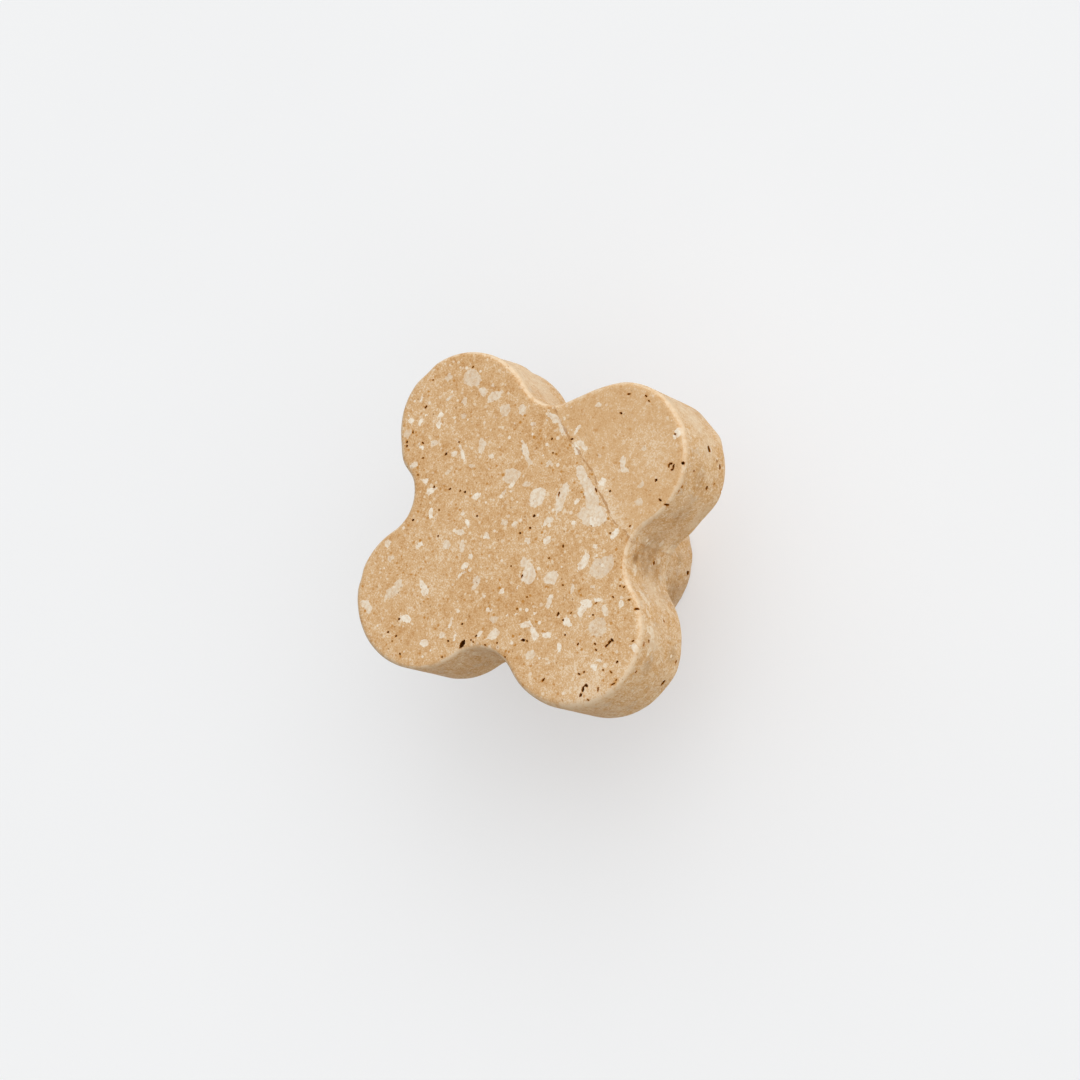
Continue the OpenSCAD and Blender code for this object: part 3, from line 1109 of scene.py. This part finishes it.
class Travertine(Shader):
    """The stone. Each method lays one more feature over the colour that it is given."""

    def __init__(self):
        super().__init__("travertine")
        self.place = self.millimetres()
        self.wavy = self.warped(self.place, 0.5, 0.16)
        self.ragged = self.warped(self.place, 0.24, 0.1)
        self.drawn = self.vector_calc("MULTIPLY", self.ragged, (1.0, 1.0, 0.6))
        self.wall = self.attribute("wall").step(0.2, 0.9)
        self.vein = self.attribute("vein") + self.cloud(self.place, 0.5).centred(0.5)
        self.beyond = self.vein.step(-0.15, 0.15)
        self.crumbs = self.beyond * self.vein.step(0.6, 1.6, 1.0, 0.0)
        color = self.grains(self.ground())
        color = self.patches(self.wall_marks(color))
        color, calcite = self.calcite(color)
        color, speck = self.specks(self.edge_wear_and_highlight(self.vein_line(color)))
        color, pit = self.pits(color)
        self.set("Base Color", color)
        self.finish(calcite, speck, pit)

    def ground(self):
        """Broad tone, mottling and fine grain, calmer beyond the vein and coarser on the walls."""
        fine = self.cloud(self.ragged, 0.18, 1.0, 0.6).centred(1.7)
        mottle = self.cloud(self.wavy, 0.9).centred(1.15)
        face_grain = (fine + mottle) * self.beyond.step(0.0, 1.0, 1.0, 0.72)
        wall_fine = self.cloud(self.drawn, 0.2, 1.0, 0.6).centred(2.4)
        wall_mottle = self.cloud(self.drawn, 0.8, 3.0, 0.6).centred(1.2)
        wall_grain = wall_fine + wall_mottle + 0.08
        grain = self.wall * (wall_grain - face_grain) + face_grain
        broad = self.cloud(self.place, 6.0, 2.0).centred(0.6) + self.attribute("tone")
        lightness = grain + (self.crumbs * 0.16 + broad) + 0.5
        color = self.mix(lightness.step(0.0, 0.5), GROUND_DARK, GROUND_MIDDLE)
        return self.mix(lightness.step(0.5, 1.0), color, GROUND_LIGHT)

    def grains(self, color):
        """Pale grains in clusters, and rust where the grains are few."""
        cluster = self.cloud(self.place, 2.6, 2.0)
        grain, _ = self.spots(self.wavy, 0.52, 0.45, (0.0, 0.22), (-0.06, 0.06))
        clustered = cluster.step(0.4, 0.62, 0.1, 0.75) * self.vein.step(0.3, 1.8, 1.0, 0.4)
        color = self.mix(grain * (self.crumbs * 0.5 + clustered), color, PALE_GRAIN)
        rust, _ = self.spots(self.ragged, 0.48, 0.6, (0.0, 0.2), (-0.07, 0.07))
        rusty = cluster.step(0.36, 0.6, 1.15, 0.4) * self.beyond.step(0.0, 1.0, 0.8, 0.5)
        return self.mix(rust * rusty, color, RUST)

    def wall_marks(self, color):
        """Light and dark patches, grey clouds and pale scuffs, on the walls alone."""
        patch = self.cloud(self.drawn, 1.1, 4.0, 0.7).step(0.38, 0.62)
        color = self.mix(self.wall * 0.4, color, self.mix(patch, WALL_DARK, WALL_LIGHT))
        grey = self.cloud(self.drawn, 1.6, 4.0, 0.65).step(0.52, 0.68)
        color = self.mix(self.wall * grey * 0.4, color, WALL_GREY)
        scuff = self.cloud(self.drawn, 0.4, 4.0, 0.75).step(0.57, 0.63)
        return self.mix(self.wall * scuff * 0.65, color, SCUFF)

    def patches(self, color):
        """Pale patches, partly paler stone and partly painted light on the walls that face the light, and
        darker patches, partly real stains and partly painted shade in the valleys, where the photo shows
        them.
        """
        # Paler stone and painted light on the walls that face the light
        dust_and_glare = self.attribute("dust_and_glare") * self.wall
        dust_and_glare *= self.cloud(self.place, 0.7).step(0.3, 0.6, 0.6, 1.3)
        color = self.mix(dust_and_glare, color, DUST_AND_GLARE_COLOR)
        # Real stains and painted shade in the valleys between the petals
        dark_patch = self.attribute("dark_patch") * self.cloud(self.place, 0.8).step(0.3, 0.6, 0.5, 1.1)
        return self.mix(dark_patch, color, STAIN_AND_SHADE_COLOR)

    def calcite(self, color):
        """Small pale flecks and larger clasts with ragged edges."""
        fleck, pick = self.spots(self.ragged, 1.05, 0.3, (0.02, 0.25), (-0.03, 0.03))
        fleck = fleck * pick.step(0.0, 1.0, 0.25, 0.95) * self.vein.step(0.3, 1.8, 1.0, 0.5)
        color = self.mix(fleck, color, FLECK)
        ragged_edge = self.cloud(self.place, 0.3, 4.0, 0.7).centred(0.45)
        bent_edge = self.cloud(self.place, 0.9, 2.0).centred(0.6)
        clast = (self.attribute("clast") + (ragged_edge + bent_edge)).step(-0.015, 0.015)
        veil = self.cloud(self.place, 0.5, 3.0, 0.6).step(0.36, 0.62, 0.5, 1.0)
        tone = self.attribute("clast_tone")
        clast = clast * veil * self.wall.step(0.0, 1.0, 1.0, 0.65) * (tone * 0.55 + 0.4)
        return self.mix(clast, color, self.mix(tone, CALCITE_DULL, CALCITE_BRIGHT)), clast

    def vein_line(self, color):
        """The brown line of the vein, which thins out here and there."""
        width = self.cloud(self.place, 1.3).step(0.35, 0.7, 0.0, 0.2)
        line = (abs(self.vein) - width).step(0.07, -0.05)
        return self.mix(line * self.wall.step(0.0, 1.0, 0.7, 0.25), color, VEIN_LINE)

    def edge_wear_and_highlight(self, color):
        """The eased edges, pale: partly worn paler stone, partly a painted highlight along the rounding."""
        eased = self.attribute("edge").step(0.0, 0.6)
        # The pale share along the rounding is partly wear, partly painted highlight
        worn = self.cloud(self.wavy, 0.9, 4.0, 0.65).step(0.36, 0.62, 0.3, 0.95)
        return self.mix(eased * worn, color, EASED_EDGE_WEAR_AND_HIGHLIGHT)

    def specks(self, color):
        """Brown specks, too small to be cut as pits."""
        speck, pick = self.spots(self.place, 0.7, 0.5, (0.0, 0.13), (-0.02, 0.03))
        share = speck * pick.step(0.0, 1.0, 0.1, 0.6) * self.beyond.step(0.0, 1.0, 1.0, 0.4)
        return self.mix(share, color, SPECK), speck

    def pits(self, color):
        """Rims and hollows of the pits, darker the deeper they are: partly their brown oxide, partly
        painted shade.
        """
        halo = self.attribute("pit_halo").step(0.1, 0.9)
        color = self.mix(halo * 0.85, color, PIT_RIM)
        # Darker with depth: painted shade over the brown oxide of the hollows
        depth = self.attribute("pit_depth")
        hollow = self.mix(depth.step(0.05, 0.25), PIT_SHALLOW, PIT_DEEP)
        hollow = self.mix(depth.step(0.25, 0.45), hollow, PIT_DEEPEST)
        pit = depth.step(0.0, 0.05)
        return self.mix(pit, color, hollow), pit

    def finish(self, calcite, speck, pit):
        """Honed surface: calcite takes a little more polish, pits none."""
        rough = calcite * -0.1 + self.cloud(self.place, 0.8).step(0.3, 0.7, 0.5, 0.62)
        self.set("Roughness", pit * 0.3 + rough)
        self.set("IOR", 1.5)
        self.set("Specular IOR Level", 0.12)
        grit = self.cloud(self.place, 0.16)
        self.set("Normal", self.bump(grit * 0.6 + speck * -1.0, 0.03))


def brass():
    shader = Shader("brass")
    place = shader.millimetres()
    dark_patch = shader.cloud(place, 1.8, 4.0, 0.6).step(0.35, 0.7)
    shader.set("Base Color", shader.mix(dark_patch, BRASS_BRIGHT, BRASS_STAINED))
    shader.set("Metallic", 1.0)
    shader.set("Roughness", dark_patch.step(0.0, 1.0, 0.28, 0.46))
    turned_marks = {"Vector": place, "Scale": 1.6, "Distortion": 0.6}
    turned = shader.add("TexWave", turned_marks, "Fac", bands_direction="Z")
    shader.set("Normal", shader.bump(turned, 0.006))
    return shader.owner


def floor_material():
    shader = Shader("pale_floor")
    drift = shader.cloud(shader.millimetres(), FLOOR_DRIFT_LENGTH)
    tint = drift.step(0.3, 0.7, FLOOR_TONE - FLOOR_DRIFT, FLOOR_TONE + FLOOR_DRIFT)
    shown = shader.seen_directly()
    shader.set("Base Color", shader.mix(shown, FLOOR_BOUNCE, tint * (1 - FLOOR_GLOW)))
    shader.set("Emission Color", (1, 1, 1, 1))
    shader.set("Emission Strength", shown * tint * FLOOR_GLOW)
    shader.set("Roughness", 0.95)
    shader.set("Specular IOR Level", 0.0)
    return shader.owner


# Stage and light

def add_stage():
    half = FLOOR_SIZE / 2
    corners = [(-half, -half, 0), (half, -half, 0), (half, half, 0), (-half, half, 0)]
    floor = new_object("floor", corners, [(0, 1, 2, 3)])
    floor.location.z = -FLOOR_DROP
    floor.data.materials.append(floor_material())


def add_light():
    """A soft room that is bright on the side the photo's light comes from, and a soft window."""
    world = bpy.data.worlds.new("soft_room")
    bpy.context.scene.world = world
    room = Nodes(world)
    direction = room.add("TexCoord", {}, "Generated")
    towards = room.vector_calc("DOT_PRODUCT", direction, LIGHT_FROM.normalized()).beside("Value")
    share = room.add("MapRange", {"Value": towards, "From Min": -1, "From Max": 1})
    walls = room.nodes["Background"]
    room.put(walls.inputs["Color"], room.mix(share, SHADE_COLOR, SKY_COLOR))
    lit = Signal(room, walls.outputs[0])
    backdrop_color = (BACKGROUND_TONE, BACKGROUND_TONE, BACKGROUND_TONE, 1)
    backdrop = room.add("Background", {"Color": backdrop_color})
    chosen = room.add("MixShader", {0: room.seen_directly(), 1: lit, 2: backdrop})
    room.put(room.nodes["World Output"].inputs["Surface"], chosen)
    window_data = bpy.data.lights.new("window", "SUN")
    window_data.energy = WINDOW_LEVEL
    window_data.angle = WINDOW_SOFTNESS
    window = bpy.data.objects.new("window", window_data)
    window.rotation_euler = WINDOW_FROM.to_track_quat("Z", "Y").to_euler()
    bpy.context.scene.collection.objects.link(window)


add_camera()
add_stone()
add_insert()
add_stage()
add_light()
bpy.context.scene.view_settings.view_transform = "Standard"
